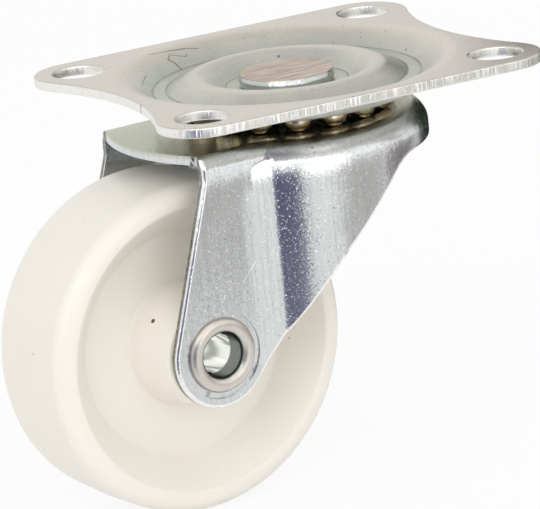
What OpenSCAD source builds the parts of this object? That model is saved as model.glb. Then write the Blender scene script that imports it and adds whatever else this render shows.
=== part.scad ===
// Light-duty swivel castor: a pressed mounting plate, two rows of loose balls,
// a king pin, a drawn sheet fork, a hollow axle rivet and a moulded wheel.
// Millimetres. The origin is the centre of the plate's top face, +Z up,
// +X along the plate's length. The wheel trails towards -X.

/* [Mounting plate] */
// Hole spacing along the plate
hole_pitch_x = 39; // [35:0.5:44]
// Hole spacing across the plate
hole_pitch_y = 32; // [31:0.5:38]
// Diameter of the four bolt holes
hole_d = 6.4; // [4:0.1:7.5]
// Radius of the rounded ear around each hole
ear_r = 5.4; // [4.8:0.1:7]
// Width of the waist between the two hollow short sides
waist_w = 42.9; // [42:0.1:45]
// Sheet thickness of the plate
plate_t = 1.25; // [1:0.05:1.5]

/* [Pressing in the plate] */
// Radius at which the flat face dips into the pressing
dish_r = 19.2; // [18.6:0.1:19.8]
// Outer radius of the flat valley
valley_outer_r = 16; // [15.4:0.1:16.6]
// Inner radius of the flat valley
valley_inner_r = 14.4; // [13.8:0.1:14.9]
// Depth of the valley below the face
valley_depth = 2.1; // [1.6:0.1:2.6]
// Depth of the sharp ridge line, before rounding, below the face
ridge_depth = 0.25; // [0:0.05:0.8]
// Rounding of the ridge
ridge_round = 2.4; // [2:0.1:3]
// Radius of the flat floor around the king pin
floor_r = 7.6; // [7:0.1:8.2]
// Depth of that floor below the face
floor_depth = 2.3; // [2:0.1:2.6]
// Rounding of the valley and floor corners
press_round = 0.8; // [0.3:0.1:1]
// Rounding of the dish lip
lip_round = 5; // [3:0.5:6]

/* [Ball races] */
// Diameter of the balls above the fork
upper_ball_d = 4; // [3:0.1:4.2]
// Radius of the upper ball circle
upper_pitch_r = 10.75; // [10.6:0.05:11.2]
// Angle of the first upper ball
upper_ball_turn = 22; // [0:1:22]
// Depth of the upper track in the fork
upper_track_depth = 0.5; // [0.3:0.05:0.7]
// Diameter of the balls below the fork
lower_ball_d = 3.2; // [2.6:0.1:3.3]
// Distance of the lower ball circle from the shank of the king pin
lower_ball_reach = 2.7; // [2.6:0.05:3]
// Depth of the lower track under the fork
lower_track_depth = 0.35; // [0.2:0.05:0.5]
// Least gap between neighbouring balls
ball_gap = 0.1; // [0.05:0.05:0.2]
// Clearance between a ball and its tracks
race_gap = 0.08; // [0.04:0.01:0.15]
// Width of the lower race outside its ball circle
lower_race_rim = 2.1; // [1.8:0.1:2.3]
// Sheet thickness of the lower race
lower_race_t = 1.2; // [0.9:0.1:1.5]
// Depth of the track in the lower race
lower_race_depth = 0.5; // [0.3:0.05:0.6]

/* [King pin] */
// Radius of the peened head at its top edge
pin_head_r = 5.5; // [4.8:0.1:6.2]
// Height of the peened head
pin_head_h = 1.4; // [0.9:0.1:1.8]
// Swelling of the head's side
pin_head_swell = 0.28; // [0.1:0.02:0.4]
// Radius of the shank
pin_shank_r = 4; // [3.6:0.1:4.3]
// Step from the shank in to the neck in the plate
pin_shoulder = 0.7; // [0.4:0.1:1]
// How far the formed foot stands out under the lower race
pin_foot_rim = 0.9; // [0.6:0.1:0.9]
// Height of the formed foot
pin_foot_h = 1.4; // [1:0.1:1.8]
// Clearance between the shank and the fork
pin_clearance = 0.5; // [0.3:0.05:0.7]

/* [Fork] */
// Sheet thickness of the fork
fork_t = 1.1; // [0.9:0.1:1.3]
// Outer radius of the round drum
drum_r = 16.3; // [15.9:0.1:17]
// Inner draw radius of the drum
drum_draw_r = 1.6; // [0.8:0.1:2]
// Width over the two flat legs
fork_w = 22.6; // [22:0.1:23.2]
// Inner bend radius of the legs
leg_bend_r = 0.8; // [0.4:0.1:1.4]
// Angle of the ramp between leg and drum
ramp_angle = 16; // [12:1:22]
// Where the ramp meets the drum, as an angle from the side of the drum
ramp_meets = 43; // [41:0.5:44]
// Depth of the ramp's arched top below the head
arch_drop = 1.9; // [1.6:0.1:2.4]
// Radius of that arch
arch_r = 3.2; // [2.6:0.1:4]
// Radius of the rear edge of the head
rear_r = 22.1; // [21.6:0.1:22.8]
// Distance of the legs' rear edge behind the king pin, at the head
rear_edge_x = 19.7; // [19.2:0.1:20.2]
// Height of the front lip
front_lip = 4.4; // [3.8:0.1:5.2]
// Where the slanted front edge of the legs meets the lip
front_edge_x = 5.6; // [3:0.1:8]
// Rounding between the slanted edge and the lip
front_edge_round = 6; // [2:0.5:8]
// How far behind the king pin the slanted edge bends
front_knee_x = 4; // [3:0.1:5]
// How far below the head the slanted edge bends
front_knee_drop = 14.5; // [13.8:0.1:15.2]
// Rounding of that bend
front_knee_round = 40; // [10:5:50]
// Depth of the seat pressed in round the axle
seat_depth = 0.35; // [0.2:0.05:0.5]
// Gap between the axle's lip and the wall of the seat
seat_gap = 0.7; // [0.4:0.05:1]
// Width of the flat rim of the eye round the seat
eye_rim = 1.15; // [0.9:0.05:1.8]

/* [Axle] */
// Distance of the axle behind the king pin
axle_trail = 19.5; // [18.8:0.05:20.2]
// Radius of the axle's ends in the legs
axle_end_r = 3.3; // [3:0.05:3.6]
// Wall of the hollow ends
axle_wall = 0.64; // [0.5:0.02:0.8]
// Step from the ends out to the tube in the wheel
axle_shoulder = 0.5; // [0.3:0.05:0.8]
// How far the rolled lip stands out over the leg
axle_lip = 1.2; // [0.9:0.05:1.5]

/* [Wheel] */
// Diameter of the wheel
wheel_d = 40; // [37:0.5:44]
// Gap between the tread and the head of the fork
wheel_gap = 2.65; // [2:0.05:5]
// Running clearance of the wheel on the axle
wheel_clearance = 0.08; // [0.02:0.01:0.1]
// Play between the hub and each leg
hub_play = 0.35; // [0.2:0.05:0.6]
// How far the rim's side lies inside the hub's face
rim_inset = 2.3; // [1.5:0.1:3]
// Width of the rim's side, before rounding
rim_t = 2.7; // [2.5:0.1:3.4]
// Shoulder radius of the tread
shoulder_r = 2; // [1.2:0.1:2]
// Rise of the tread's middle over its sides
tread_crown = 0.25; // [0.05:0.05:0.5]
// Thickness of the web between hub and rim
web_t = 5.1; // [3:0.1:6]
// Outer radius of the web
web_r = 13.5; // [12.5:0.1:14.5]
// Radius of the hub at its face
hub_r = 6.3; // [5.6:0.1:7]
// Draft of the hub's side
hub_draft = 9; // [2:1:12]

/* [Pose] */
// Swivel angle of the fork
swivel = 5.2; // [-180:0.1:180]

/* [Hidden] */
$fn = 96;
// Flats in a rounded corner
arc_steps = 10;
// How far a cutting shape runs past what it cuts
past = 1;
// Rounding of sharp edges, and of the hollow corners of the wheel's web
edge_round = 0.5;
web_round = 0.6;
// How far the round of a leg's bend stands past the head's plane, which leaves a slight crease
bend_rise = 0.05;

// Plate outline
plate_half_x = hole_pitch_x / 2 + ear_r;
plate_half_y = hole_pitch_y / 2 + ear_r;
plate_reach = norm([plate_half_x, plate_half_y]);
waist_inset = waist_w / 2 - hole_pitch_x / 2;
waist_gap = ear_r - waist_inset;
waist_r = (pow(hole_pitch_y / 2, 2) + pow(waist_inset, 2) - pow(ear_r, 2)) / (2 * waist_gap);
waist_x = waist_w / 2 + waist_r;
waist_turn = asin(hole_pitch_y / 2 / (waist_r + ear_r));
waist_step = 2 * waist_turn / (arc_steps + 2);
plate_low = -max(floor_depth, valley_depth) - plate_t - past;

// Pressing and upper race, from the top down
dish_slope = atan(valley_depth / (dish_r - valley_outer_r));
ridge_in_slope = atan((floor_depth - ridge_depth) / (upper_pitch_r - floor_r));
ridge_out_slope = atan((valley_depth - ridge_depth) / (valley_inner_r - upper_pitch_r));
ridge_half_turn = (ridge_in_slope + ridge_out_slope) / 2;
upper_ball_r = upper_ball_d / 2;
upper_track_r = upper_ball_r + race_gap;
upper_ball_z = -ridge_depth - (plate_t + upper_track_r) / cos(ridge_half_turn);

// King pin, fork head and lower race
pin_neck_r = pin_shank_r - pin_shoulder;
pin_foot_r = pin_shank_r + pin_foot_rim;
fork_z = upper_ball_z - upper_track_r + upper_track_depth;
fork_under_z = fork_z - fork_t;
lower_pitch_r = pin_shank_r + lower_ball_reach;
lower_ball_r = lower_ball_d / 2;
lower_track_r = lower_ball_r + race_gap;
lower_ball_z = fork_under_z + lower_track_depth - lower_track_r;
lower_race_r = lower_pitch_r + lower_race_rim;
lower_race_z = lower_ball_z - lower_track_r + lower_race_depth;
lower_race_under_z = lower_race_z - lower_race_t;
pin_foot_z = lower_race_under_z - pin_foot_h;

// Axle and wheel, seen from the side
axle_bore_r = axle_end_r - axle_wall;
axle_r = axle_end_r + axle_shoulder;
axle_lip_r = axle_end_r + axle_lip;
wheel_r = wheel_d / 2;
wheel_bore_r = axle_r + wheel_clearance;
rim_inner_r = wheel_r - rim_t;
axle_drop = wheel_r + wheel_gap - fork_under_z;
axle_at = [-axle_trail, -axle_drop];
seat_r = axle_lip_r + seat_gap;
eye_r = seat_r + eye_rim;

// Fork
half_sheet = fork_t / 2;
leg_half = fork_w / 2;
drum_fold_r = drum_draw_r + fork_t;
leg_fold_r = leg_bend_r + fork_t;
ramp_point = drum_r * [-sin(ramp_meets), -cos(ramp_meets)];
ramp_offset = drum_r * cos(ramp_meets - ramp_angle);
ramp_overlap = fork_t;
arch_top = fork_z - arch_drop;
rear_corner = [-rear_edge_x, fork_under_z - leg_fold_r];
front_corner = [front_edge_x, fork_z - front_lip];
front_knee = [-front_knee_x, fork_z - front_knee_drop];
form_low = -axle_drop - eye_r - past;
form_back = -axle_trail - eye_r - past;

// Axle and wheel, across the fork
seat_y = leg_half - seat_depth;
boss_y = seat_y - fork_t;
hub_half = boss_y - hub_play;
rim_half = hub_half - rim_inset;
lip_mid_r = (axle_lip_r + axle_bore_r) / 2;
lip_bead_r = (axle_lip_r - axle_bore_r) / 2;
web_half = web_t / 2;
hub_foot_r = hub_r + (hub_half - web_half) * tan(hub_draft);

// Most balls that fit round a circle, and their names
function balls_round(pitch_r, ball_d) = floor(180 / asin((ball_d + ball_gap) / (2 * pitch_r)));
function numbered(name, i) = str(name, i < 10 ? "0" : "", i);
function upper_name(i) = numbered("upper_ball_", i);
function lower_name(i) = numbered("lower_ball_", i);
upper_ball_count = balls_round(upper_pitch_r, upper_ball_d);
lower_ball_count = balls_round(lower_pitch_r, lower_ball_d);

// Arc round c, from one angle to another
function on_circle(r, angle) = r * [cos(angle), sin(angle)];
function arc(c, r, from, to) =
    [for (i = [0 : arc_steps]) c + on_circle(r, from + (to - from) * i / arc_steps)];

// Corner c of the path a, c, b rounded to radius r
function unit(v) = v / norm(v);
function corner_arc(a, c, b, r) =
    let (
        u = unit(a - c),
        v = unit(b - c),
        half = acos(u * v) / 2,
        middle = c + unit(u + v) * r / sin(half),
        from = c + u * r / tan(half) - middle,
        to = c + v * r / tan(half) - middle,
        start = atan2(from.y, from.x),
        sweep = (atan2(to.y, to.x) - start + 540) % 360 - 180
    )
    arc(middle, r, start, start + sweep);

// Closed path of [x, y] points, rounded where a point has a radius as its third number
function flat(p) = [p.x, p.y];
function rounded(path) =
    let (n = len(path))
    [for (i = [0 : n - 1])
        each len(path[i]) == 2
            ? [path[i]]
            : corner_arc(flat(path[(i + n - 1) % n]), flat(path[i]), flat(path[(i + 1) % n]), path[i].z)];
function reversed(list) = [for (i = [len(list) - 1 : -1 : 0]) list[i]];

// Point where the tangent from p touches the circle round c, side 1 or -1
function tangent_point(p, c, r, side) =
    let (
        d = c - p,
        reach = sqrt(d * d - r * r),
        turn = side * asin(r / norm(d)),
        u = unit(d)
    )
    p + reach * [u.x * cos(turn) - u.y * sin(turn), u.x * sin(turn) + u.y * cos(turn)];

// Corner of the pressing at [r, z] between two slopes, moved into the sheet by depth, then rounded
function press_corner(r, z, slope_in, slope_out, depth, round_r) =
    let (
        middle = (slope_in + slope_out) / 2,
        reach = depth / cos((slope_out - slope_in) / 2)
    )
    [r + reach * sin(middle), z - reach * cos(middle), round_r];

// Section of the pressing at a depth in the sheet, from the king pin outwards
function pressing(depth) = [
    [pin_neck_r, -floor_depth - depth],
    press_corner(floor_r, -floor_depth, 0, ridge_in_slope, depth, press_round + depth),
    press_corner(upper_pitch_r, -ridge_depth, ridge_in_slope, -ridge_out_slope, depth, ridge_round - depth),
    press_corner(valley_inner_r, -valley_depth, -ridge_out_slope, 0, depth, press_round + depth),
    press_corner(valley_outer_r, -valley_depth, 0, dish_slope, depth, press_round + depth),
    press_corner(dish_r, 0, dish_slope, 0, depth, lip_round - depth),
    [plate_reach, -depth]
];

// One side of the wheel's section, from the bore out to the tread, side 1 or -1
function wheel_side(side) = [
    [wheel_bore_r, side * hub_half],
    [hub_r, side * hub_half, edge_round],
    [hub_foot_r, side * web_half, web_round],
    [web_r, side * web_half, web_round],
    [rim_inner_r, side * rim_half, edge_round],
    [wheel_r - tread_crown, side * rim_half, shoulder_r]
];

module both_sides() {
    children();
    mirror([0, 1, 0]) children();
}

// Upright cylinder round the swivel axis between two heights
module disc(r, low, high) {
    translate([0, 0, low]) cylinder(r = r, h = high - low);
}

module ring(pitch_r, z, r) {
    rotate_extrude()
        translate([pitch_r, z]) circle(r);
}

module at_holes() {
    for (x = [-1, 1], y = [-1, 1])
        translate([x * hole_pitch_x / 2, y * hole_pitch_y / 2])
            children();
}

// Two ends alike: a hollow waist between two round ears
module plate_outline() {
    ear = [hole_pitch_x / 2, hole_pitch_y / 2];
    end = concat(
        arc([ear.x, -ear.y], ear_r, -90, waist_turn),
        arc([waist_x, 0], waist_r, 180 + waist_turn - waist_step, 180 - waist_turn + waist_step),
        arc(ear, ear_r, -waist_turn, 90)
    );
    polygon(concat(end, [for (p = end) -p]));
}

module top_plate() {
    color("#cdc9c1")
    intersection() {
        rotate_extrude()
            polygon(rounded(concat(pressing(0), reversed(pressing(plate_t)))));
        translate([0, 0, plate_low])
            linear_extrude(past - plate_low)
            difference() {
                plate_outline();
                at_holes() circle(d = hole_d);
            }
    }
}

module king_pin() {
    floor_z = -floor_depth;
    swell_r = pin_head_r + pin_head_swell;
    color("#b9a69c")
    rotate_extrude()
        polygon(rounded([
            [0, pin_foot_z],
            [pin_foot_r, pin_foot_z, edge_round],
            [pin_foot_r, lower_race_under_z],
            [pin_shank_r, lower_race_under_z],
            [pin_shank_r, floor_z - plate_t],
            [pin_neck_r, floor_z - plate_t],
            [pin_neck_r, floor_z],
            [pin_head_r, floor_z],
            [swell_r, floor_z + pin_head_h / 2, pin_head_h / 2],
            [pin_head_r, floor_z + pin_head_h],
            [0, floor_z + pin_head_h]
        ]));
}

module lower_race() {
    bump_r = lower_track_r + lower_race_t;
    color("#b4b6b4")
    difference() {
        union() {
            disc(lower_race_r, lower_race_under_z, lower_race_z);
            intersection() {
                ring(lower_pitch_r, lower_ball_z, bump_r);
                disc(lower_race_r, lower_ball_z - bump_r - past, lower_race_z);
            }
        }
        ring(lower_pitch_r, lower_ball_z, lower_track_r);
        disc(pin_shank_r, lower_race_under_z - past, lower_race_z + past);
    }
}

module upper_ball(i) {
    color("#6b5648")
    rotate([0, 0, upper_ball_turn + (i - 1) * 360 / upper_ball_count])
        translate([upper_pitch_r, 0, upper_ball_z]) sphere(upper_ball_r);
}

module lower_ball(i) {
    color("#6b5648")
    rotate([0, 0, (i - 1) * 360 / lower_ball_count])
        translate([lower_pitch_r, 0, lower_ball_z]) sphere(lower_ball_r);
}

// Long block with two rounded upper edges, seen along X; a slight crease marks where each starts
module channel(half_w, fold, top, x_from, x_to, low) {
    bend_z = top - fold + bend_rise;
    translate([x_from, 0, 0])
    rotate([90, 0, 90])
    linear_extrude(x_to - x_from)
    intersection() {
        translate([-half_w, low]) square([2 * half_w, top - low]);
        union() {
            translate([-half_w, low]) square([2 * half_w, bend_z - low]);
            translate([-half_w + fold, low]) square([2 * (half_w - fold), top + fold - low]);
            for (side = [-1, 1])
                translate([side * (half_w - fold), bend_z]) circle(fold);
        }
    }
}

// Round block with a rounded upper edge
module drum(radius, fold, top, low) {
    rotate_extrude() {
        translate([0, low]) square([radius, top - fold - low]);
        translate([0, low]) square([radius - fold, top - low]);
        translate([radius - fold, top - fold]) circle(fold);
    }
}

// Ramp from one flat leg to the drum, under an arch that peaks where it meets the drum
module ramp(inset, low) {
    offset = ramp_offset - inset;
    r = arch_r - inset;
    spring = arch_top - arch_r;
    intersection() {
        rotate([0, 0, -ramp_angle])
            translate([form_back, -offset, low]) cube([drum_r - form_back, offset, fork_z - low]);
        translate([ramp_point.x, 0, 0])
            rotate([90, 0, 0])
            linear_extrude(drum_r) {
                translate([0, spring]) circle(r);
                translate([-r, low]) square([r, spring - low]);
                translate([0, low]) square([ramp_overlap, spring + r - low]);
            }
    }
}

// The fork as a solid block, taken in by inset on every face
module fork_form(inset) {
    top = fork_z - inset;
    low = form_low - inset;
    drum(drum_r - inset, drum_fold_r - inset, top, low);
    channel(leg_half - inset, leg_fold_r - inset, top, form_back - inset, 0, low);
    both_sides() ramp(inset, low);
}

// What blanking and trimming leave of the legs and the lip, seen from the side
module leg_outline() {
    above = fork_z + past;
    polygon(rounded([
        [rear_corner.x, above],
        rear_corner,
        tangent_point(rear_corner, axle_at, eye_r, -1),
        axle_at,
        tangent_point(front_knee, axle_at, eye_r, 1),
        [front_knee.x, front_knee.y, front_knee_round],
        [front_corner.x, front_corner.y, front_edge_round],
        [drum_r + past, front_corner.y],
        [drum_r + past, above]
    ]));
    translate(axle_at) circle(eye_r);
}

// Turns an upright shape to lie along the axle
module along_axle() {
    translate([axle_at.x, 0, axle_at.y]) rotate([90, 0, 0]) children();
}

module fork_blank() {
    intersection() {
        difference() {
            fork_form(0);
            fork_form(fork_t);
        }
        union() {
            translate([0, rear_r, 0]) rotate([90, 0, 0]) linear_extrude(2 * rear_r) leg_outline();
            disc(rear_r, fork_under_z - half_sheet, fork_z + past);
        }
    }
    // Under side of the upper ball track
    intersection() {
        ring(upper_pitch_r, upper_ball_z, upper_track_r + fork_t);
        disc(drum_r - fork_t, fork_under_z - fork_t, fork_under_z + half_sheet);
    }
    // Inner side of the seats round the axle
    both_sides() along_axle()
        translate([0, 0, boss_y]) cylinder(r = seat_r + half_sheet, h = fork_t);
}

module fork() {
    color("#c6c8c6")
    rotate([0, 0, swivel])
    difference() {
        fork_blank();
        ring(upper_pitch_r, upper_ball_z, upper_track_r);
        ring(lower_pitch_r, lower_ball_z, lower_track_r);
        disc(pin_shank_r + pin_clearance, fork_under_z - past, fork_z + past);
        along_axle() cylinder(r = axle_end_r, h = 2 * (leg_half + past), center = true);
        both_sides() along_axle()
            translate([0, 0, seat_y]) cylinder(r = seat_r, h = seat_depth + past);
    }
}

module axle_rivet() {
    color("#bcbdbb")
    rotate([0, 0, swivel])
    along_axle()
    rotate_extrude() {
        translate([axle_bore_r, -boss_y]) square([axle_r - axle_bore_r, 2 * boss_y]);
        translate([axle_bore_r, -seat_y]) square([axle_wall, 2 * seat_y]);
        both_sides()
            translate([lip_mid_r, seat_y])
            intersection() {
                circle(lip_bead_r);
                translate([-lip_bead_r, 0]) square([2 * lip_bead_r, lip_bead_r]);
            }
    }
}

module wheel() {
    color("#ece6dc")
    rotate([0, 0, swivel])
    along_axle()
    rotate_extrude()
        polygon(rounded(concat(wheel_side(1), [[wheel_r, 0, wheel_d]], reversed(wheel_side(-1)))));
}

top_plate();
king_pin();
lower_race();
fork();
axle_rivet();
wheel();
for (i = [1 : upper_ball_count])
    upper_ball(i);
for (i = [1 : lower_ball_count])
    lower_ball(i);
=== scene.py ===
"""A small swivel castor in bright zinc plate with an ivory nylon wheel, dressed and lit."""
import math

import bpy
from mathutils import Matrix, Vector


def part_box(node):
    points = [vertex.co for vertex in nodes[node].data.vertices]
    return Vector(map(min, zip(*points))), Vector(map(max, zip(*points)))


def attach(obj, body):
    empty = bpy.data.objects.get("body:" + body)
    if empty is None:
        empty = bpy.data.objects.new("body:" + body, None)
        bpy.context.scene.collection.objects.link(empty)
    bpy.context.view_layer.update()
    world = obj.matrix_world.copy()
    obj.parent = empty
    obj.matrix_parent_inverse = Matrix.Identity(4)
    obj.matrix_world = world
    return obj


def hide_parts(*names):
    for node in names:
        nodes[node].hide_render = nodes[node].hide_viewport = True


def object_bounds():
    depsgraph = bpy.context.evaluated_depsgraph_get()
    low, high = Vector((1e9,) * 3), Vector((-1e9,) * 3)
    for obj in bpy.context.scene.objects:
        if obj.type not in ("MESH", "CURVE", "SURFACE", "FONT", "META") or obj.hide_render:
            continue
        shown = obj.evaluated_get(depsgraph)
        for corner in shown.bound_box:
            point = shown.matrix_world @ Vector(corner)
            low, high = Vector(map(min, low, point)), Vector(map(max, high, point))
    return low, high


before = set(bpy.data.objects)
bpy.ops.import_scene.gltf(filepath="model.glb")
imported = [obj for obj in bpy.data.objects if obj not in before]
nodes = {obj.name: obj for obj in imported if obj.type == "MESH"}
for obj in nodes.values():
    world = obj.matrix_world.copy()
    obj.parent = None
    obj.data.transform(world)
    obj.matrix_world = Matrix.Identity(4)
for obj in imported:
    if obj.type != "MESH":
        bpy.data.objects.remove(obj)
cad_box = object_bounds()
MM = 0.001

# Camera: where it stands round the object, and how the picture is framed
FRAME_WIDTH = 540               # pixels
SENSOR_WIDTH = 36               # mm
VIEW_AZIMUTH = -26.873          # degrees from -Y
VIEW_ELEVATION = 15.253         # degrees
VIEW_ROLL = -5.474              # degrees
VIEW_DISTANCE = 642.1           # mm
VIEW_SCALE = 8.445              # pixels per mm at the object
VIEW_RIGHT, VIEW_UP = -1.797, -22.757   # mm from the plate's centre to the middle of the picture
VIEW_NEAR, VIEW_FAR = 0.01, 100         # m, the depth that the camera takes in

# Stage
FLOOR_SIZE = 6.0                # m
FLOOR_COLOUR = "#fbfaf8"
FLOOR_GLOW = 0.88               # share of the floor that shows as plain white
WORLD_LEVEL = 0.74              # light of the white room; what is seen of its walls is plain white
CEILING_LEVEL = 0.86            # the room's ceiling as the metal shows it
CEILING_FROM, CEILING_TO = 0.3, 0.75    # sine of the elevation where the walls turn into ceiling
LAMP_AIM = (0, 0, -20)          # mm
# Soft boxes: name, place in mm, side in mm, watts
LAMPS = [
    ("key", (-480, -430, 330), 500, 1.1),
    ("top", (60, -260, 700), 420, 0.45),
    ("front", (-20, -640, 150), 420, 0.56),
    ("right", (420, -500, 300), 400, 0.15),
    ("back", (100, 600, 500), 500, 0.2)]
# Upright cards on the floor that show only in the metal: name, colour, degrees from -Y towards -X,
# distance from the swivel axis, width and height in mm
CARDS = [
    ("navy_card", "#6e6e92", 44, 66, 50, 46),
    ("silver_card", "#d8d8d6", -25, 95, 70, 46),
    ("grey_card", "#a09a9a", -68, 95, 62, 46),
    ("green_card", "#16240e", -112, 72, 54, 76)]

# Places on the plate and the pin, in mm
HOLE, HOLE_RADIUS = (19.5, 16, 0), 3.2  # bolt holes in the plate, one in each quarter
CREASE_RADII = (16.0, 14.4, 7.3)        # creases of the plate's pressing
PRESSED_FROM, PRESSED_TO = -0.2, -1.9   # heights where the pressing's cooler colour comes in
PIN_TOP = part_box("king_pin")[1].z / MM

# Places on the fork and the wheel, in mm along the fork's own directions
SWIVEL_TURN = math.radians(5.2)
FORK_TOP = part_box("fork")[1].z / MM
TRACK_RADIUS = 10.75            # of the upper ball track
DRUM_RADIUS = 16.3
LEG_FACE = 11.3                 # from the middle plane to the legs' outer faces
SHEET = 1.1                     # thickness of the sheet
ARCH_FROM, ARCH_TO = -15.5, -6  # where the ramps' arches lie
ARCH_LOW = -14                  # below the arches
RAMP_CREASE = -13.28            # where the ramps rise out of the legs
RAMP_TURN = math.radians(16)    # of the face at that crease
RAMP_LEAN_FROM, RAMP_LEAN_TO = RAMP_CREASE - 3.4, RAMP_CREASE - 0.2
RAMP_LEAN_TOP, RAMP_LEAN_LOW = FORK_TOP - 3, FORK_TOP - 6
SHOULDER_LOW, SHOULDER_HIGH = FORK_TOP - 5.5, FORK_TOP - 2
SHOULDER_LEAN = 0.26            # of the drawn shoulder below the head
AXLE_ALONG, AXLE_DOWN = -19.5, -29.42
SEAT_RADIUS = 5.2               # of the pressed seats round the axle
BORE_RADIUS = 2.66              # of the axle rivet
BORE_SHADE = 8.7                # from the wheel's middle plane to where the bore's shaded mouth begins
RECESS_FROM, RECESS_TO = 17.4, 13.5     # radii where the wheel's rim turns into its recess

# Grains of the plating: size in mm, lean, lean of the ones that sparkle, and their share
PLATE_GRAIN = (0.1, 0.07, 0.5, 0.06)
FORK_GRAIN = (0.1, 0.1, 0.7, 0.07)
EDGE_GRAIN = (0.1, 0.1, 0.4, 0.1)
RIVET_GRAIN = (0.2, 0.04, 0.1, 0.1)
PIN_GRAIN = (0.2, 0.08, 0.3, 0.1)
HALF = (0.5, 0.5, 0.5)          # middle of a noise colour, taken off where it is to lean both ways

# Patterns in the surfaces: how large they are, in mm
PLATE_CLOUD, PLATE_TINT = 6, 3.5
SHEAR_LINES, SHEAR_DRAW = 0.16, 0.06    # spacing, and that over their length down the plate's edge
FORK_CLOUD = 5
DRAW_STREAKS, STREAK_DRAW = 0.4, 0.05   # spacing, and that over their length down the fork
EDGE_SPECKLE = 0.2
RIVET_CLOUD = 1.5
WIPE_LINES, WIPE_DRAW = 0.35, 0.12      # spacing, and that over their length across the pin's head
WIPE_TURN = math.radians(20)
GREASE_FILM = 1.1
NYLON_CLOUD, NYLON_FLECKS = 9, 5
# Pores in the plate's plating and flecks of dirt: spacing in mm, size as a share of it, and strength
PLATE_FLECKS = ((0.55, 0.1, 0.6), (1.7, 0.05, 0.9))
# Bright scuffs and dark flecks on the fork: the same, and colour
FORK_FLECKS = ((0.9, 0.05, 0.8, "#f4f5f5"), (1.7, 0.04, 0.6, "#55534c"))
# Pink and green clouds of the passivation: where they begin and end in the tint, and colour
PLATE_TINTS = ((0.52, 0.7, "#b3a3a5"), (0.46, 0.3, "#9eafa2"))

# Scratches on the plate: from point to point in plan, and half their width, in mm
PLATE_SCRATCHES = [
    ((-9.4, 17.3), (-6.5, 17.9), 0.07), ((-6.5, 17.9), (-4.1, 18.1), 0.1),
    ((-4.1, 18.1), (-2.4, 17.9), 0.06), ((-7.4, 16.2), (-6.8, 15.7), 0.12),
    ((-6.8, 15.7), (-6.5, 14.7), 0.12), ((-6.7, 17.1), (-7.4, 16.2), 0.06),
    ((-6.7, 17.1), (-4.7, 16.8), 0.05), ((-4.7, 16.8), (-4.4, 17.1), 0.06),
    ((-12.6, 12.0), (-14.1, 9.9), 0.05), ((-14.1, 9.9), (-15.1, 8.1), 0.04)]
# Specks of dirt on the plate: middle in plan, and radius
PLATE_SPECKS = [
    ((3.5, 8.4), 0.2), ((-17.6, 8.6), 0.12), ((-10.0, 11.1), 0.14), ((-21.8, -4.9), 0.16),
    ((16.6, 0.4), 0.16), ((13.7, -4.4), 0.13), ((-15.2, 7.0), 0.12)]
# Scratches on the fork, in its own directions: from point to point, and half their width
FORK_SCRATCHES = [
    ((-15.8, -11.3, -21.4), (-13.8, -11.3, -19.4), 0.04),
    ((-17.9, -11.3, -17.4), (-17.5, -11.3, -17.1), 0.05),
    ((-18.6, -11.3, -22.9), (-18.3, -11.3, -22.4), 0.05)]
# Burnt specks in the wheel: middle, radius and colour
NYLON_SPECKS = [((-24.34, -7.62, -25.09), 0.3, "#5b3d1e")]

# Shaping
MERGE = 0.0005 * MM             # corners of the CAD triangles nearer than this are one
FLAT_BELOW = 0.4                # degrees between triangles that are one flat face
SHARP_ABOVE = 55                # degrees at an edge that is rounded over
SMOOTH_BELOW = 24               # degrees between faces that shade as one
ROUND_STEPS = 4
PLATE_ROUND = 0.22              # mm
FORK_ROUND_OUTSIDE, FORK_ROUND_INSIDE = 0.45, 0.12      # mm
SEAT_MARGIN = 0.7               # mm round the axle seats that stay sharp
SEAT_CUT_MARGIN = 0.3           # mm round the axle seats that don't count as cut faces
TRACK_MARGIN = 3                # mm outside the ball track that stay sharp


def linear(colour):
    """An sRGB hex colour as linear red, green, blue and full alpha."""
    parts = [int(colour[i:i + 2], 16) / 255 for i in (1, 3, 5)]
    return [c / 12.92 if c <= 0.04045 else ((c + 0.055) / 1.055) ** 2.4 for c in parts] + [1.0]


def add(tree, kind, inputs=None, **settings):
    """A node of that kind, with its settings, and a value or a link in each named input."""
    made = tree.nodes.new(kind)
    for name, value in settings.items():
        setattr(made, name, value)
    for name, value in (inputs or {}).items():
        if isinstance(value, bpy.types.NodeSocket):
            tree.links.new(value, made.inputs[name])
        else:
            made.inputs[name].default_value = value
    return made


def new_material(name):
    """An empty material, its tree, and the place on the object in mm."""
    material = bpy.data.materials.new(name)
    material.use_nodes = True
    tree = material.node_tree
    tree.nodes.clear()
    coords = add(tree, "ShaderNodeTexCoord").outputs["Object"]
    place = add(tree, "ShaderNodeVectorMath", {0: coords, "Scale": 1 / MM}, operation="SCALE")
    return material, tree, place.outputs[0]


def finish_metal(tree, colour, roughness, leans):
    """A metal of that colour whose face is tipped by each lean."""
    normal = add(tree, "ShaderNodeNewGeometry").outputs["Normal"]
    for lean in leans:
        normal = add(tree, "ShaderNodeVectorMath", {0: normal, 1: lean}, operation="ADD").outputs[0]
    normal = add(tree, "ShaderNodeVectorMath", {0: normal}, operation="NORMALIZE").outputs[0]
    shader = add(tree, "ShaderNodeBsdfPrincipled", {
        "Base Color": colour, "Metallic": 1.0, "Roughness": roughness, "Normal": normal})
    add(tree, "ShaderNodeOutputMaterial", {"Surface": shader.outputs[0]})


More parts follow.
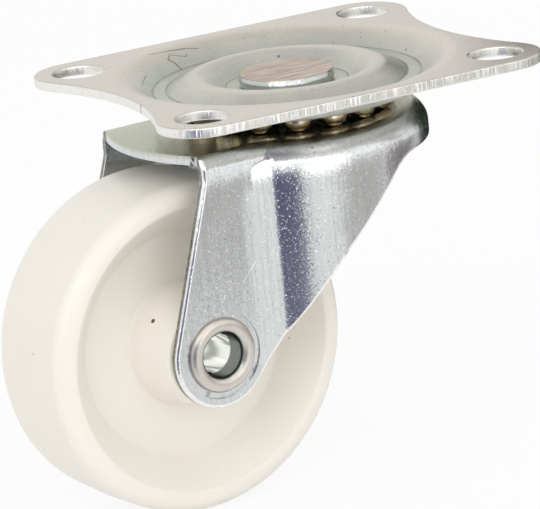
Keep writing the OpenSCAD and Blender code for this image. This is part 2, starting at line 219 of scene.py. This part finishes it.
def grain_lean(tree, place, size, lean, sparkle, share):
    """Plating grains that lean a little, each its own way, and the few that lean more and sparkle."""
    cells = add(tree, "ShaderNodeTexVoronoi", {"Vector": place, "Scale": 1 / size}).outputs
    spread = add(tree, "ShaderNodeVectorMath", {0: cells["Color"], 1: HALF},
                 operation="SUBTRACT").outputs[0]
    chance = add(tree, "ShaderNodeTexWhiteNoise", {"Vector": cells["Position"]}).outputs["Value"]
    amount = add(tree, "ShaderNodeMapRange", {
        "Value": chance, "From Min": 1 - share, "From Max": 1.01 - share,
        "To Min": lean, "To Max": sparkle}).outputs[0]
    return add(tree, "ShaderNodeVectorMath", {0: spread, "Scale": amount}, operation="SCALE").outputs[0]


def line_mark(tree, place, start, end, half_width):
    """Share of a scratch from one point to another; all in mm."""
    run = end - start
    away = add(tree, "ShaderNodeVectorMath", {0: place, 1: start}, operation="SUBTRACT").outputs[0]
    along = add(tree, "ShaderNodeVectorMath", {0: away, 1: run / run.length_squared},
                operation="DOT_PRODUCT").outputs["Value"]
    held = add(tree, "ShaderNodeClamp", {"Value": along}).outputs[0]
    nearest = add(tree, "ShaderNodeVectorMath", {0: run, "Scale": held}, operation="SCALE").outputs[0]
    gap = add(tree, "ShaderNodeVectorMath", {0: away, 1: nearest}, operation="DISTANCE").outputs["Value"]
    return add(tree, "ShaderNodeMapRange", {
        "Value": gap, "From Min": half_width / 2, "From Max": half_width * 1.5,
        "To Min": 1.0, "To Max": 0.0}).outputs[0]


def spot_mark(tree, place, middle, radius):
    """Share of a round spot in the object; all in mm."""
    gap = add(tree, "ShaderNodeVectorMath", {0: place, 1: middle}, operation="DISTANCE").outputs["Value"]
    return add(tree, "ShaderNodeMapRange", {
        "Value": gap, "From Min": radius * 0.75, "From Max": radius * 1.1,
        "To Min": 1.0, "To Max": 0.0}).outputs[0]


def axle_place(tree, place):
    """Distance from the axle's middle line, and from the wheel's middle plane along it, in mm."""
    along = Vector((-math.sin(SWIVEL_TURN), math.cos(SWIVEL_TURN), 0))
    middle = from_fork((AXLE_ALONG, 0, AXLE_DOWN))
    away = add(tree, "ShaderNodeVectorMath", {0: place, 1: middle}, operation="SUBTRACT").outputs[0]
    side = add(tree, "ShaderNodeVectorMath", {0: away, 1: along}, operation="DOT_PRODUCT").outputs["Value"]
    onto = add(tree, "ShaderNodeVectorMath", {0: along, "Scale": side}, operation="SCALE").outputs[0]
    gap = add(tree, "ShaderNodeVectorMath", {0: away, 1: onto}, operation="DISTANCE").outputs["Value"]
    return gap, add(tree, "ShaderNodeMath", {0: side}, operation="ABSOLUTE").outputs[0]


def from_fork(point):
    """A point given along the fork's own directions, where it lies on the object."""
    return Matrix.Rotation(SWIVEL_TURN, 3, "Z") @ Vector(point)


def to_fork(vector):
    """A place or a direction on the object, in mm along the fork's own directions."""
    return Matrix.Rotation(-SWIVEL_TURN, 3, "Z") @ (vector / MM)


def make_camera():
    azimuth, elevation, roll = (math.radians(d) for d in (VIEW_AZIMUTH, VIEW_ELEVATION, VIEW_ROLL))
    back = Vector((math.sin(azimuth) * math.cos(elevation),
                   -math.cos(azimuth) * math.cos(elevation), math.sin(elevation)))
    level = Vector((math.cos(azimuth), math.sin(azimuth), 0))
    rise = back.cross(level)
    right = level * math.cos(roll) + rise * math.sin(roll)
    up = rise * math.cos(roll) - level * math.sin(roll)
    data = bpy.data.cameras.new("camera")
    data.sensor_width = SENSOR_WIDTH
    data.lens = SENSOR_WIDTH * VIEW_SCALE * VIEW_DISTANCE / FRAME_WIDTH
    data.clip_start, data.clip_end = VIEW_NEAR, VIEW_FAR
    camera = bpy.data.objects.new("camera", data)
    bpy.context.scene.collection.objects.link(camera)
    place = back * VIEW_DISTANCE + right * VIEW_RIGHT + up * VIEW_UP
    axes = Matrix((right, up, back)).transposed().to_4x4()
    camera.matrix_world = Matrix.Translation(place * MM) @ axes
    bpy.context.scene.camera = camera


def seen_directly(tree):
    """1 for rays from the camera and for reflections and refractions, else 0."""
    path = add(tree, "ShaderNodeLightPath").outputs
    seen = path["Is Camera Ray"]
    for ray in ("Is Glossy Ray", "Is Transmission Ray"):
        seen = add(tree, "ShaderNodeMath", {0: seen, 1: path[ray]}, operation="MAXIMUM").outputs[0]
    return seen


def make_floor():
    bpy.ops.mesh.primitive_plane_add(size=FLOOR_SIZE, location=(0, 0, cad_box[0].z))
    floor = bpy.context.object
    floor.name = "floor"
    material, tree, _ = new_material("pale_floor")
    share = add(tree, "ShaderNodeMath", {0: seen_directly(tree), 1: FLOOR_GLOW}, operation="MULTIPLY")
    paint = add(tree, "ShaderNodeBsdfDiffuse", {"Color": linear(FLOOR_COLOUR)})
    glow = add(tree, "ShaderNodeEmission", {"Color": linear("#ffffff"), "Strength": 1.0})
    mix = add(tree, "ShaderNodeMixShader", {
        0: share.outputs[0], 1: paint.outputs[0], 2: glow.outputs[0]})
    add(tree, "ShaderNodeOutputMaterial", {"Surface": mix.outputs[0]})
    floor.data.materials.append(material)


def make_world():
    world = bpy.data.worlds.new("studio")
    bpy.context.scene.world = world
    world.use_nodes = True
    tree = world.node_tree
    tree.nodes.clear()
    way = add(tree, "ShaderNodeTexCoord").outputs["Generated"]
    rise = add(tree, "ShaderNodeSeparateXYZ", {0: way}).outputs["Z"]
    shown = add(tree, "ShaderNodeMapRange", {
        "Value": rise, "From Min": CEILING_FROM, "From Max": CEILING_TO,
        "To Min": 1.0, "To Max": CEILING_LEVEL}).outputs[0]
    level = add(tree, "ShaderNodeMapRange", {
        "Value": seen_directly(tree), "To Min": WORLD_LEVEL, "To Max": shown}).outputs[0]
    sky = add(tree, "ShaderNodeBackground", {"Color": linear("#ffffff"), "Strength": level})
    add(tree, "ShaderNodeOutputWorld", {"Surface": sky.outputs[0]})


def make_lamp(name, place, side, power):
    data = bpy.data.lights.new(name, "AREA")
    data.size = side * MM
    data.energy = power
    lamp = bpy.data.objects.new(name, data)
    bpy.context.scene.collection.objects.link(lamp)
    lamp.location = Vector(place) * MM
    lamp.rotation_euler = (Vector(LAMP_AIM) - Vector(place)).to_track_quat("-Z", "Y").to_euler()


def make_card(name, colour, turn, distance, width, height):
    angle = math.radians(turn)
    low = cad_box[0].z / MM
    middle = Vector((-math.sin(angle) * distance, -math.cos(angle) * distance, low + height / 2))
    bpy.ops.mesh.primitive_plane_add(size=1)
    card = bpy.context.object
    card.name = name
    upright = Matrix.Rotation(-angle, 4, "Z") @ Matrix.Rotation(math.pi / 2, 4, "X")
    size = Matrix.Diagonal((width * MM, height * MM, 1, 1))
    card.matrix_world = Matrix.Translation(middle * MM) @ upright @ size
    card.visible_camera = card.visible_diffuse = card.visible_shadow = card.visible_transmission = False
    material, tree, _ = new_material(name)
    paint = add(tree, "ShaderNodeBsdfDiffuse", {"Color": linear(colour)})
    add(tree, "ShaderNodeOutputMaterial", {"Surface": paint.outputs[0]})
    card.data.materials.append(material)


def plate_zinc():
    # Zinc plating on pressed sheet: a warm satin grey that turns cooler in the pressing, where the
    # passivation shows faint green and pink, with painted shade in its creases and painted light on the
    # underside; the cut edge is painted brighter, a painted highlight, and carries the fine lines of the
    # shear.
    material, tree, place = new_material("zinc_plated_pressed_sheet")
    plan = add(tree, "ShaderNodeVectorMath", {0: place, 1: (1, 1, 0)}, operation="MULTIPLY").outputs[0]
    height = add(tree, "ShaderNodeSeparateXYZ", {0: place}).outputs["Z"]
    cloud = add(tree, "ShaderNodeTexNoise", {
        "Vector": place, "Scale": 1 / PLATE_CLOUD, "Detail": 5.0}).outputs[0]
    colour = add(tree, "ShaderNodeMix", {0: cloud, 6: linear("#c5bfb6"), 7: linear("#d2ccc3")},
                 data_type="RGBA").outputs[2]
    facing = add(tree, "ShaderNodeNewGeometry").outputs["Normal"]
    facing = add(tree, "ShaderNodeSeparateXYZ", {0: facing}).outputs["Z"]
    above = add(tree, "ShaderNodeMapRange", {
        "Value": facing, "From Min": -0.1, "From Max": 0.1}).outputs[0]
    pressed = add(tree, "ShaderNodeMapRange", {
        "Value": height, "From Min": PRESSED_FROM, "From Max": PRESSED_TO,
        "To Min": 0.0, "To Max": 0.85}).outputs[0]
    pressed = add(tree, "ShaderNodeMath", {0: pressed, 1: above}, operation="MULTIPLY").outputs[0]
    colour = add(tree, "ShaderNodeMix", {0: pressed, 6: colour, 7: linear("#b2b6ae")},
                 data_type="RGBA").outputs[2]
    tint = add(tree, "ShaderNodeTexNoise", {
        "Vector": place, "Scale": 1 / PLATE_TINT, "Detail": 2.0}).outputs[0]
    for low, high, shade in PLATE_TINTS:
        share = add(tree, "ShaderNodeMapRange", {
            "Value": tint, "From Min": low, "From Max": high, "To Max": 0.5}).outputs[0]
        share = add(tree, "ShaderNodeMath", {0: share, 1: pressed}, operation="MULTIPLY").outputs[0]
        colour = add(tree, "ShaderNodeMix", {0: share, 6: colour, 7: linear(shade)},
                     data_type="RGBA").outputs[2]
    # the underside, painted near white: painted light where it catches light from below
    colour = add(tree, "ShaderNodeMix", {0: above, 6: linear("#f1f0ea"), 7: colour},
                 data_type="RGBA").outputs[2]
    # painted shade: dark rings along the creases of the pressing, patchy with the tint noise
    radius = add(tree, "ShaderNodeVectorMath", {0: plan}, operation="LENGTH").outputs["Value"]
    for ring in CREASE_RADII:
        gap = add(tree, "ShaderNodeMath", {0: radius, 1: ring}, operation="SUBTRACT").outputs[0]
        gap = add(tree, "ShaderNodeMath", {0: gap}, operation="ABSOLUTE").outputs[0]
        share = add(tree, "ShaderNodeMapRange", {
            "Value": gap, "From Min": 0.05, "From Max": 0.2, "To Min": 1.0, "To Max": 0.0}).outputs[0]
        share = add(tree, "ShaderNodeMath", {0: share, 1: tint}, operation="MULTIPLY").outputs[0]
        colour = add(tree, "ShaderNodeMix", {0: share, 6: colour, 7: linear("#4c4f45")},
                     data_type="RGBA").outputs[2]
    # the cut edge, painted near white: a painted highlight
    upright = add(tree, "ShaderNodeMath", {0: facing}, operation="ABSOLUTE").outputs[0]
    cut = add(tree, "ShaderNodeMapRange", {
        "Value": upright, "From Min": 0.6, "From Max": 0.3}).outputs[0]
    colour = add(tree, "ShaderNodeMix", {0: cut, 6: colour, 7: linear("#efeeea")},
                 data_type="RGBA").outputs[2]
    # scratches, specks and flecks
    marks = [line_mark(tree, plan, Vector((*start, 0)), Vector((*end, 0)), half_width)
             for start, end, half_width in PLATE_SCRATCHES]
    marks += [spot_mark(tree, plan, (*middle, 0), size) for middle, size in PLATE_SPECKS]
    for spacing, size, strength in PLATE_FLECKS:
        fleck = add(tree, "ShaderNodeTexVoronoi", {"Vector": place, "Scale": 1 / spacing})
        marks.append(add(tree, "ShaderNodeMapRange", {
            "Value": fleck.outputs["Distance"], "From Min": size, "From Max": size * 1.6,
            "To Min": strength, "To Max": 0.0}).outputs[0])
    marked = marks[0]
    for mark in marks[1:]:
        marked = add(tree, "ShaderNodeMath", {0: marked, 1: mark}, operation="MAXIMUM").outputs[0]
    share = add(tree, "ShaderNodeMath", {0: marked, 1: 0.7}, operation="MULTIPLY").outputs[0]
    colour = add(tree, "ShaderNodeMix", {0: share, 6: colour, 7: linear("#4f4a43")},
                 data_type="RGBA").outputs[2]
    roughness = add(tree, "ShaderNodeMapRange", {
        "Value": cloud, "To Min": 0.3, "To Max": 0.44}).outputs[0]
    # shear lines straight down the cut edge, fainter in the holes
    lines = add(tree, "ShaderNodeVectorMath", {0: place, 1: (1, 1, SHEAR_DRAW)}, operation="MULTIPLY")
    lines = add(tree, "ShaderNodeTexNoise", {
        "Vector": lines.outputs[0], "Scale": 1 / SHEAR_LINES, "Detail": 2.0})
    lines = add(tree, "ShaderNodeVectorMath", {0: lines.outputs["Color"], 1: HALF},
                operation="SUBTRACT").outputs[0]
    hole = add(tree, "ShaderNodeVectorMath", {0: plan}, operation="ABSOLUTE").outputs[0]
    hole = add(tree, "ShaderNodeVectorMath", {0: hole, 1: HOLE}, operation="DISTANCE").outputs["Value"]
    lean = add(tree, "ShaderNodeMapRange", {
        "Value": hole, "From Min": HOLE_RADIUS, "From Max": HOLE_RADIUS + 0.3,
        "To Min": 0.35, "To Max": 1.1}).outputs[0]
    lean = add(tree, "ShaderNodeMath", {0: cut, 1: lean}, operation="MULTIPLY").outputs[0]
    lines = add(tree, "ShaderNodeVectorMath", {0: lines, "Scale": lean}, operation="SCALE").outputs[0]
    finish_metal(tree, colour, roughness, [grain_lean(tree, place, *PLATE_GRAIN), lines])
    return material


def ramp_lean(tree, place):
    """The soft turn where a ramp rises out of a leg: the leg's face leans over before the crease."""
    own = add(tree, "ShaderNodeVectorRotate", {"Vector": place, "Angle": -SWIVEL_TURN},
              rotation_type="Z_AXIS").outputs[0]
    own = add(tree, "ShaderNodeSeparateXYZ", {0: own}).outputs
    turn = add(tree, "ShaderNodeMapRange", {
        "Value": own["X"], "From Min": RAMP_LEAN_FROM, "From Max": RAMP_LEAN_TO,
        "To Max": RAMP_TURN}, interpolation_type="SMOOTHSTEP").outputs[0]
    leg = add(tree, "ShaderNodeMath", {0: own["X"], 1: RAMP_CREASE}, operation="LESS_THAN").outputs[0]
    side = add(tree, "ShaderNodeMath", {0: own["Y"]}, operation="ABSOLUTE").outputs[0]
    outside = add(tree, "ShaderNodeMath", {0: side, 1: LEG_FACE - SHEET / 3},
                  operation="GREATER_THAN").outputs[0]
    below = add(tree, "ShaderNodeMapRange", {
        "Value": own["Z"], "From Min": RAMP_LEAN_TOP, "From Max": RAMP_LEAN_LOW}).outputs[0]
    for share in (leg, outside, below):
        turn = add(tree, "ShaderNodeMath", {0: turn, 1: share}, operation="MULTIPLY").outputs[0]
    to_rear = from_fork((-1, 0, 0))
    lean = add(tree, "ShaderNodeVectorMath", {0: to_rear, "Scale": turn}, operation="SCALE").outputs[0]
    return add(tree, "ShaderNodeVectorTransform", {0: lean}, vector_type="VECTOR",
               convert_from="OBJECT", convert_to="WORLD").outputs[0]


def fork_zinc(name, grease_and_shade):
    # Bright zinc plating on drawn sheet: clear grey with a sparkle of plating grains, drawn out by the die
    # in faint upright streaks, yellowish green on the head and dulled by grease and painted shade round
    # the ball track.
    material, tree, place = new_material(name)
    height = add(tree, "ShaderNodeSeparateXYZ", {0: place}).outputs["Z"]
    cloud = add(tree, "ShaderNodeTexNoise", {
        "Vector": place, "Scale": 1 / FORK_CLOUD, "Detail": 5.0}).outputs[0]
    colour = add(tree, "ShaderNodeMix", {0: cloud, 6: linear("#cfd2d2"), 7: linear("#dfe1e1")},
                 data_type="RGBA").outputs[2]
    # streaks of the drawing
    drawn = add(tree, "ShaderNodeVectorMath", {0: place, 1: (1, 1, STREAK_DRAW)}, operation="MULTIPLY")
    drawn = add(tree, "ShaderNodeTexNoise", {
        "Vector": drawn.outputs[0], "Scale": 1 / DRAW_STREAKS, "Detail": 3.0}).outputs
    share = add(tree, "ShaderNodeMapRange", {
        "Value": drawn[0], "From Min": 0.5, "From Max": 0.72, "To Max": 0.35}).outputs[0]
    colour = add(tree, "ShaderNodeMix", {0: share, 6: colour, 7: linear("#b4b7b8")},
                 data_type="RGBA").outputs[2]
    # the head's passivation, and the grease and painted shade round the ball track
    level = add(tree, "ShaderNodeMapRange", {
        "Value": height, "From Min": FORK_TOP - 0.6, "From Max": FORK_TOP - 0.1}).outputs[0]
    share = add(tree, "ShaderNodeMath", {0: level, 1: 0.7}, operation="MULTIPLY").outputs[0]
    colour = add(tree, "ShaderNodeMix", {0: share, 6: colour, 7: linear("#adb092")},
                 data_type="RGBA").outputs[2]
    plan = add(tree, "ShaderNodeVectorMath", {0: place, 1: (1, 1, 0)}, operation="MULTIPLY").outputs[0]
    radius = add(tree, "ShaderNodeVectorMath", {0: plan}, operation="LENGTH").outputs["Value"]
    near = add(tree, "ShaderNodeMapRange", {
        "Value": radius, "From Min": TRACK_RADIUS + 6, "From Max": TRACK_RADIUS + 1.5,
        "To Max": grease_and_shade}).outputs[0]
    share = add(tree, "ShaderNodeMath", {0: near, 1: level}, operation="MULTIPLY").outputs[0]
    colour = add(tree, "ShaderNodeMix", {0: share, 6: colour, 7: linear("#a19b83")},
                 data_type="RGBA").outputs[2]
    for start, end, half_width in FORK_SCRATCHES:
        share = line_mark(tree, place, from_fork(start), from_fork(end), half_width)
        colour = add(tree, "ShaderNodeMix", {0: share, 6: colour, 7: linear("#fafafa")},
                     data_type="RGBA").outputs[2]
    for spacing, size, strength, shade in FORK_FLECKS:
        fleck = add(tree, "ShaderNodeTexVoronoi", {"Vector": place, "Scale": 1 / spacing})
        fleck = add(tree, "ShaderNodeMapRange", {
            "Value": fleck.outputs["Distance"], "From Min": size, "From Max": size * 2,
            "To Min": strength, "To Max": 0.0}).outputs[0]
        colour = add(tree, "ShaderNodeMix", {0: fleck, 6: colour, 7: linear(shade)},
                     data_type="RGBA").outputs[2]
    roughness = add(tree, "ShaderNodeMapRange", {
        "Value": cloud, "To Min": 0.17, "To Max": 0.28}).outputs[0]
    streak = add(tree, "ShaderNodeVectorMath", {0: drawn["Color"], 1: HALF},
                 operation="SUBTRACT").outputs[0]
    streak = add(tree, "ShaderNodeVectorMath", {0: streak, "Scale": 0.1}, operation="SCALE").outputs[0]
    # the drawn shoulder leans in well below the bend
    rise = add(tree, "ShaderNodeMapRange", {
        "Value": height, "From Min": SHOULDER_LOW, "From Max": SHOULDER_HIGH,
        "To Max": SHOULDER_LEAN}, interpolation_type="SMOOTHSTEP").outputs[0]
    shoulder = add(tree, "ShaderNodeCombineXYZ", {"Z": rise}).outputs[0]
    finish_metal(tree, colour, roughness, [
        grain_lean(tree, place, *FORK_GRAIN), streak, shoulder, ramp_lean(tree, place)])
    return material


def edge_zinc(name, dark, light, roughness):
    # Zinc over the edge of a sheet: tumbled smooth where it was rounded over and painted almost white
    # there, a painted highlight; dull and speckled where the shear broke it, and painted dark there, a
    # painted dark reflection.
    material, tree, place = new_material(name)
    speckle = add(tree, "ShaderNodeTexNoise", {
        "Vector": place, "Scale": 1 / EDGE_SPECKLE, "Detail": 3.0}).outputs[0]
    speckle = add(tree, "ShaderNodeMapRange", {
        "Value": speckle, "From Min": 0.35, "From Max": 0.65}).outputs[0]
    colour = add(tree, "ShaderNodeMix", {0: speckle, 6: linear(dark), 7: linear(light)},
                 data_type="RGBA").outputs[2]
    finish_metal(tree, colour, roughness, [grain_lean(tree, place, *EDGE_GRAIN)])
    return material


def rivet_zinc():
    # Zinc plating on rolled tube: warmer and duller than the sheet, with the faint cloudiness of rolled
    # metal;
    # in the bore, painted shade in grey green at the mouth and painted white light further in, almost a
    # mirror.
    material, tree, place = new_material("zinc_plated_rolled_tube")
    cloud = add(tree, "ShaderNodeTexNoise", {
        "Vector": place, "Scale": 1 / RIVET_CLOUD, "Detail": 4.0}).outputs[0]
    colour = add(tree, "ShaderNodeMix", {0: cloud, 6: linear("#cdc6be"), 7: linear("#e6e1da")},
                 data_type="RGBA").outputs[2]
    gap, side = axle_place(tree, place)
    # in the bore: painted grey green shade at its mouth, and painted white light further in where it is
    # seen through
    bore = add(tree, "ShaderNodeMapRange", {
        "Value": gap, "From Min": BORE_RADIUS + 0.25, "From Max": BORE_RADIUS + 0.1}).outputs[0]
    mouth = add(tree, "ShaderNodeMapRange", {
        "Value": side, "From Min": BORE_SHADE, "From Max": BORE_SHADE + 0.15}).outputs[0]
    bore_painted_light = add(tree, "ShaderNodeMix", {0: mouth, 6: linear("#fdfdfb"), 7: linear("#9aa19b")},
                 data_type="RGBA").outputs[2]
    colour = add(tree, "ShaderNodeMix", {0: bore, 6: colour, 7: bore_painted_light}, data_type="RGBA").outputs[2]
    roughness = add(tree, "ShaderNodeMapRange", {
        "Value": cloud, "To Min": 0.34, "To Max": 0.46}).outputs[0]
    polish = add(tree, "ShaderNodeMapRange", {"Value": mouth, "To Min": 0.1, "To Max": 0.3}).outputs[0]
    roughness = add(tree, "ShaderNodeMapRange", {
        "Value": bore, "To Min": roughness, "To Max": polish}).outputs[0]
    # grains only outside the bore
    skin = add(tree, "ShaderNodeMapRange", {"Value": bore, "To Min": 1.0, "To Max": 0.0}).outputs[0]
    lean = grain_lean(tree, place, *RIVET_GRAIN)
    lean = add(tree, "ShaderNodeVectorMath", {0: lean, "Scale": skin}, operation="SCALE").outputs[0]
    finish_metal(tree, colour, roughness, [lean])
    return material


def peened_steel():
    # Steel pin head hammered over by a peening tool: the top is bare, brownish and wiped in fine lines,
    # the side keeps its bright zinc.
    material, tree, place = new_material("peened_steel")
    height = add(tree, "ShaderNodeSeparateXYZ", {0: place}).outputs["Z"]
    top = add(tree, "ShaderNodeMapRange", {
        "Value": height, "From Min": PIN_TOP - 0.12, "From Max": PIN_TOP - 0.04}).outputs[0]
    lines = add(tree, "ShaderNodeMapping", {
        "Vector": place, "Rotation": (0, 0, WIPE_TURN), "Scale": (WIPE_DRAW, 1, 1)}).outputs[0]
    lines = add(tree, "ShaderNodeTexNoise", {
        "Vector": lines, "Scale": 1 / WIPE_LINES, "Detail": 4.0}).outputs
    share = add(tree, "ShaderNodeMapRange", {
        "Value": lines[0], "From Min": 0.3, "From Max": 0.72}).outputs[0]
    bare = add(tree, "ShaderNodeMix", {0: share, 6: linear("#968477"), 7: linear("#d2c5b6")},
               data_type="RGBA").outputs[2]
    colour = add(tree, "ShaderNodeMix", {0: top, 6: linear("#c3c7c4"), 7: bare},
                 data_type="RGBA").outputs[2]
    lean = add(tree, "ShaderNodeVectorMath", {0: lines["Color"], 1: HALF},
               operation="SUBTRACT").outputs[0]
    lean = add(tree, "ShaderNodeVectorMath", {0: lean, "Scale": 0.3}, operation="SCALE").outputs[0]
    roughness = add(tree, "ShaderNodeMapRange", {
        "Value": top, "To Min": 0.24, "To Max": 0.42}).outputs[0]
    finish_metal(tree, colour, roughness, [grain_lean(tree, place, *PIN_GRAIN), lean])
    return material


def greased_steel():
    # Polished bearing steel under a film of brown grease: pale bronze in the light and dark in the gap,
    # with small sharp lights where the film is thin.
    material, tree, place = new_material("greased_bearing_steel")
    film = add(tree, "ShaderNodeTexNoise", {
        "Vector": place, "Scale": 1 / GREASE_FILM, "Detail": 3.0}).outputs[0]
    share = add(tree, "ShaderNodeMapRange", {
        "Value": film, "From Min": 0.35, "From Max": 0.7}).outputs[0]
    colour = add(tree, "ShaderNodeMix", {0: share, 6: linear("#d6bd9c"), 7: linear("#fffaf0")},
                 data_type="RGBA").outputs[2]
    roughness = add(tree, "ShaderNodeMapRange", {
        "Value": share, "To Min": 0.24, "To Max": 0.12}).outputs[0]
    shader = add(tree, "ShaderNodeBsdfPrincipled", {
        "Base Color": colour, "Metallic": 1.0, "Roughness": roughness,
        "Coat Weight": 0.4, "Coat Roughness": 0.12})
    add(tree, "ShaderNodeOutputMaterial", {"Surface": shader.outputs[0]})
    return material


def ivory_nylon():
    # Natural moulded nylon: a satin ivory that light enters a little, painted a touch paler in the recess
    # as painted light against the shade there, with the odd burnt speck from the mould.
    material, tree, place = new_material("ivory_moulded_nylon")
    radius, _ = axle_place(tree, place)
    cloud = add(tree, "ShaderNodeTexNoise", {
        "Vector": place, "Scale": 1 / NYLON_CLOUD, "Detail": 3.0}).outputs[0]
    colour = add(tree, "ShaderNodeMix", {0: cloud, 6: linear("#ede8df"), 7: linear("#f2eee6")},
                 data_type="RGBA").outputs[2]
    # painted light: the recess is painted a touch paler, lifting the shade that falls in it
    recess_painted_light = add(tree, "ShaderNodeMapRange", {
        "Value": radius, "From Min": RECESS_FROM, "From Max": RECESS_TO, "To Max": 0.5}).outputs[0]
    colour = add(tree, "ShaderNodeMix", {0: recess_painted_light, 6: colour, 7: linear("#f3eee4")},
                 data_type="RGBA").outputs[2]
    # faint flecks
    fleck = add(tree, "ShaderNodeTexVoronoi", {"Vector": place, "Scale": 1 / NYLON_FLECKS})
    fleck = add(tree, "ShaderNodeMapRange", {
        "Value": fleck.outputs["Distance"], "From Min": 0.018, "From Max": 0.03,
        "To Min": 0.6, "To Max": 0.0}).outputs[0]
    colour = add(tree, "ShaderNodeMix", {0: fleck, 6: colour, 7: linear("#8a7f6e")},
                 data_type="RGBA").outputs[2]
    for middle, size, shade in NYLON_SPECKS:
        share = spot_mark(tree, place, middle, size)
        colour = add(tree, "ShaderNodeMix", {0: share, 6: colour, 7: linear(shade)},
                     data_type="RGBA").outputs[2]
    roughness = add(tree, "ShaderNodeMapRange", {
        "Value": cloud, "To Min": 0.3, "To Max": 0.42}).outputs[0]
    shader = add(tree, "ShaderNodeBsdfPrincipled", {
        "Base Color": colour, "Roughness": roughness, "IOR": 1.53, "Subsurface Weight": 0.25,
        "Subsurface Radius": (1.0, 0.85, 0.65), "Subsurface Scale": 1.6 * MM})
    add(tree, "ShaderNodeOutputMaterial", {"Surface": shader.outputs[0]})
    return material


def dress(node, material):
    """That material alone on a part."""
    obj = nodes[node]
    obj.data.materials.clear()
    obj.data.materials.append(material)


def by_axle(at, margin):
    """Whether a place on the fork is on a pressed axle seat, or within that margin of it."""
    return math.hypot(at.x - AXLE_ALONG, at.z - AXLE_DOWN) < SEAT_RADIUS + margin


def fork_outside(point):
    """Outer edges of the fork's sheet, without the arches, axle seats, pin hole and ball tracks."""
    at = to_fork(point)
    arch = ARCH_FROM < at.x < ARCH_TO and at.z > ARCH_LOW
    plan = math.hypot(at.x, at.y)
    if at.x < ARCH_FROM:
        outside = abs(at.y) > LEG_FACE - SHEET / 2
    else:
        outside = plan > DRUM_RADIUS - SHEET / 2
    return outside and not (arch or by_axle(at, SEAT_MARGIN) or plan < TRACK_RADIUS + TRACK_MARGIN)


def fork_inside(point):
    """Inner edges of the fork's legs."""
    at = to_fork(point)
    inside = abs(at.y) < LEG_FACE - SHEET / 2
    return inside and at.x < ARCH_FROM and at.z < ARCH_LOW and not by_axle(at, SEAT_MARGIN)


def fork_cut(face):
    """The sheared faces of the fork's legs."""
    at, way = to_fork(face.center), to_fork(face.normal)
    across = abs(way.y) < 0.1 * way.length and abs(at.y) > LEG_FACE - SHEET
    return across and at.x < ARCH_FROM and not by_axle(at, SEAT_CUT_MARGIN)


def round_edges(node, name, body, skins, rounds, is_cut):
    """A copy of a sheet part with its edges rounded over, which stands for the sharp one. The rounds
    are radii in mm with the edges they go on; the skins are for the sheet, its rounded edges and its
    cut faces."""
    bpy.ops.object.select_all(action="DESELECT")
    sheet = bpy.data.objects.new(name, nodes[node].data.copy())
    bpy.context.scene.collection.objects.link(sheet)
    bpy.context.view_layer.objects.active = sheet
    sheet.select_set(True)
    bpy.context.tool_settings.mesh_select_mode = (False, True, False)
    bpy.ops.object.mode_set(mode="EDIT")
    bpy.ops.mesh.select_all(action="SELECT")
    bpy.ops.mesh.remove_doubles(threshold=MERGE)
    bpy.ops.mesh.dissolve_limited(angle_limit=math.radians(FLAT_BELOW))
    mesh = sheet.data
    mesh.materials.clear()
    for skin in skins:
        mesh.materials.append(skin)
    for radius, wanted in rounds:
        bpy.ops.mesh.select_all(action="DESELECT")
        bpy.ops.mesh.edges_select_sharp(sharpness=math.radians(SHARP_ABOVE))
        bpy.ops.object.mode_set(mode="OBJECT")
        for part in (*mesh.vertices, *mesh.polygons):
            part.select = False
        for edge in mesh.edges:
            ends = [mesh.vertices[i] for i in edge.vertices]
            edge.select = edge.select and wanted((ends[0].co + ends[1].co) / 2)
            if edge.select:
                ends[0].select = ends[1].select = True
        bpy.ops.object.mode_set(mode="EDIT")
        bpy.ops.mesh.bevel(offset=radius * MM, segments=ROUND_STEPS, affect="EDGES",
                           clamp_overlap=False, material=min(1, len(skins) - 1))
    bpy.ops.object.mode_set(mode="OBJECT")
    for face in mesh.polygons:
        if is_cut(face):
            face.material_index = len(skins) - 1
    bpy.ops.object.shade_smooth_by_angle(angle=math.radians(SMOOTH_BELOW))
    flats = sheet.modifiers.new("flats", "WEIGHTED_NORMAL")
    flats.keep_sharp = True
    bpy.ops.object.modifier_apply(modifier=flats.name)
    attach(sheet, body)
    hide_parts(node)


# The studio
bpy.context.scene.view_settings.view_transform = "Standard"
bpy.ops.object.select_all(action="DESELECT")
make_camera()
make_floor()
make_world()
for lamp in LAMPS:
    make_lamp(*lamp)
for card in CARDS:
    make_card(*card)

# The castor
plate_skin = plate_zinc()
fork_skin = fork_zinc("zinc_plated_drawn_sheet", 0.75)
race_skin = fork_zinc("zinc_plated_race_sheet", 0.0)
# rounded-over edges painted almost white: a painted highlight
tumbled_edge_highlight = edge_zinc("tumbled_zinc_edge_painted_highlight", "#e9eaea", "#ffffff", 0.24)
# cut faces painted dark grey: a painted dark reflection over the real speckle of the shear
sheared = edge_zinc("sheared_zinc_edge_painted_dark", "#60635f", "#b4b7b3", 0.42)
round_edges("top_plate", "plate_sheet", "plate", [plate_skin],
            [(PLATE_ROUND, lambda point: True)], lambda face: False)
round_edges("fork", "fork_sheet", "fork", [fork_skin, tumbled_edge_highlight, sheared],
            [(FORK_ROUND_OUTSIDE, fork_outside), (FORK_ROUND_INSIDE, fork_inside)], fork_cut)
dress("top_plate", plate_skin)
dress("fork", fork_skin)
dress("lower_race", race_skin)
dress("axle_rivet", rivet_zinc())
dress("king_pin", peened_steel())
dress("wheel", ivory_nylon())
ball_skin = greased_steel()
for name in nodes:
    if "ball" in name:
        dress(name, ball_skin)
